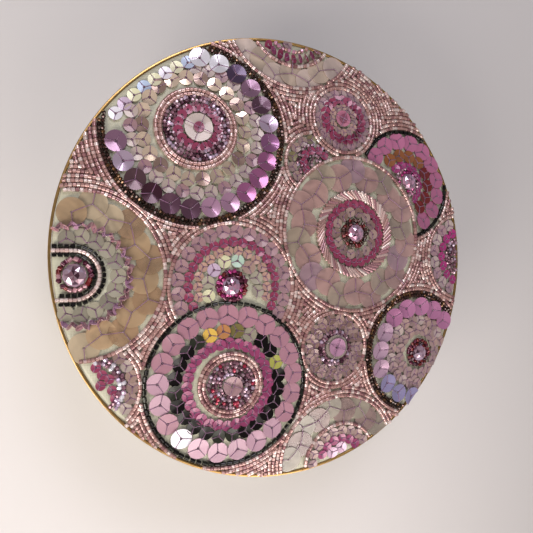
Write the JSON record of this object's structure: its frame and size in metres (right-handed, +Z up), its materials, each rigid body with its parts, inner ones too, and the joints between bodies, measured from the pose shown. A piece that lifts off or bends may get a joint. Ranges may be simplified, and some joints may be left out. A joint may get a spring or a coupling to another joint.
{
  "type": "sequined jewelry box",
  "caption": "Low round jewelry box with a lift-off padded silk lid in a thin brass band, sewn all over with sequin rosettes, crystals and seed beads.",
  "frame": {"origin": "middle of the underside", "axes": "+Z up through the middle of the drum; +X to the right and +Y away in the plan of the lid"},
  "size_m": [0.15, 0.15, 0.0645],
  "materials": {
    "cut_crystal": "faceted, polished",
    "amber_sequins": "clear film",
    "rose_beads": "silver-lined, glossy",
    "crimson_sequins": "glossy film",
    "beige_sequins": "pearly film",
    "middle_sequins": "satin film",
    "blush_sequins": "pearly film",
    "black_bugles": "glossy",
    "silk_cover": "satin weave",
    "taupe_sequins": "clear film",
    "lid_lining": "matt, paper covered",
    "orchid_sequins": "glossy film",
    "bronze_beads": "metallic, glossy",
    "plum_sequins": "metallic film",
    "brass_band": "polished",
    "silk_ground": "satin weave"
  },
  "bodies": {
    "root": {"amber_middle_crystal": "cut_crystal", "amber_rosette_field": "amber_sequins", "amber_rosette_strand": "rose_beads", "back_inner_rosette_field": "crimson_sequins", "back_inner_rosette_strand": "rose_beads", "back_rosette_field": "beige_sequins", "back_rosette_strand": "rose_beads", "bead_ground_1": "rose_beads", "bead_ground_2": "rose_beads", "bead_ground_3": "rose_beads", "bead_ground_4": "rose_beads", "bead_ground_5": "rose_beads", "bead_ground_6": "rose_beads", "bead_ground_7": "rose_beads", "black_middle_sequin": "middle_sequins", "black_rosette_field": "blush_sequins", "black_rosette_strand": "black_bugles", "box_body": "silk_cover", "bugle_middle_crystal": "cut_crystal", "bugle_rosette_field": "taupe_sequins", "bugle_rosette_strand": "rose_beads", "crimson_middle_crystal": "cut_crystal", "crimson_rosette_field": "crimson_sequins", "crimson_rosette_strand": "rose_beads", "edge_rosette_field": "beige_sequins", "edge_rosette_strand": "rose_beads", "front_inner_rosette_field": "blush_sequins", "front_inner_rosette_strand": "rose_beads", "front_rosette_field": "beige_sequins", "front_rosette_strand": "rose_beads", "hidden_rosette_field": "beige_sequins", "hidden_rosette_strand": "rose_beads", "lid_board": "lid_lining", "lilac_middle_crystal": "cut_crystal", "lilac_rosette_field": "orchid_sequins", "lilac_rosette_strand": "bronze_beads", "olive_middle_sequin": "middle_sequins", "olive_rosette_field": "beige_sequins", "olive_rosette_strand": "rose_beads", "orchid_middle_crystal": "cut_crystal", "orchid_rosette_field": "orchid_sequins", "orchid_rosette_strand": "black_bugles", "orchid_rosette_strand_b": "black_bugles", "plum_middle_sequin": "middle_sequins", "plum_rosette_field": "plum_sequins", "plum_rosette_strand": "bronze_beads", "right_rosette_field": "crimson_sequins", "right_rosette_strand": "rose_beads", "rim_band": "brass_band", "silk_pad": "silk_ground", "small_middle_cup": "middle_sequins", "small_rosette_field": "crimson_sequins", "small_rosette_strand": "rose_beads"}
  },
  "joints": []
}
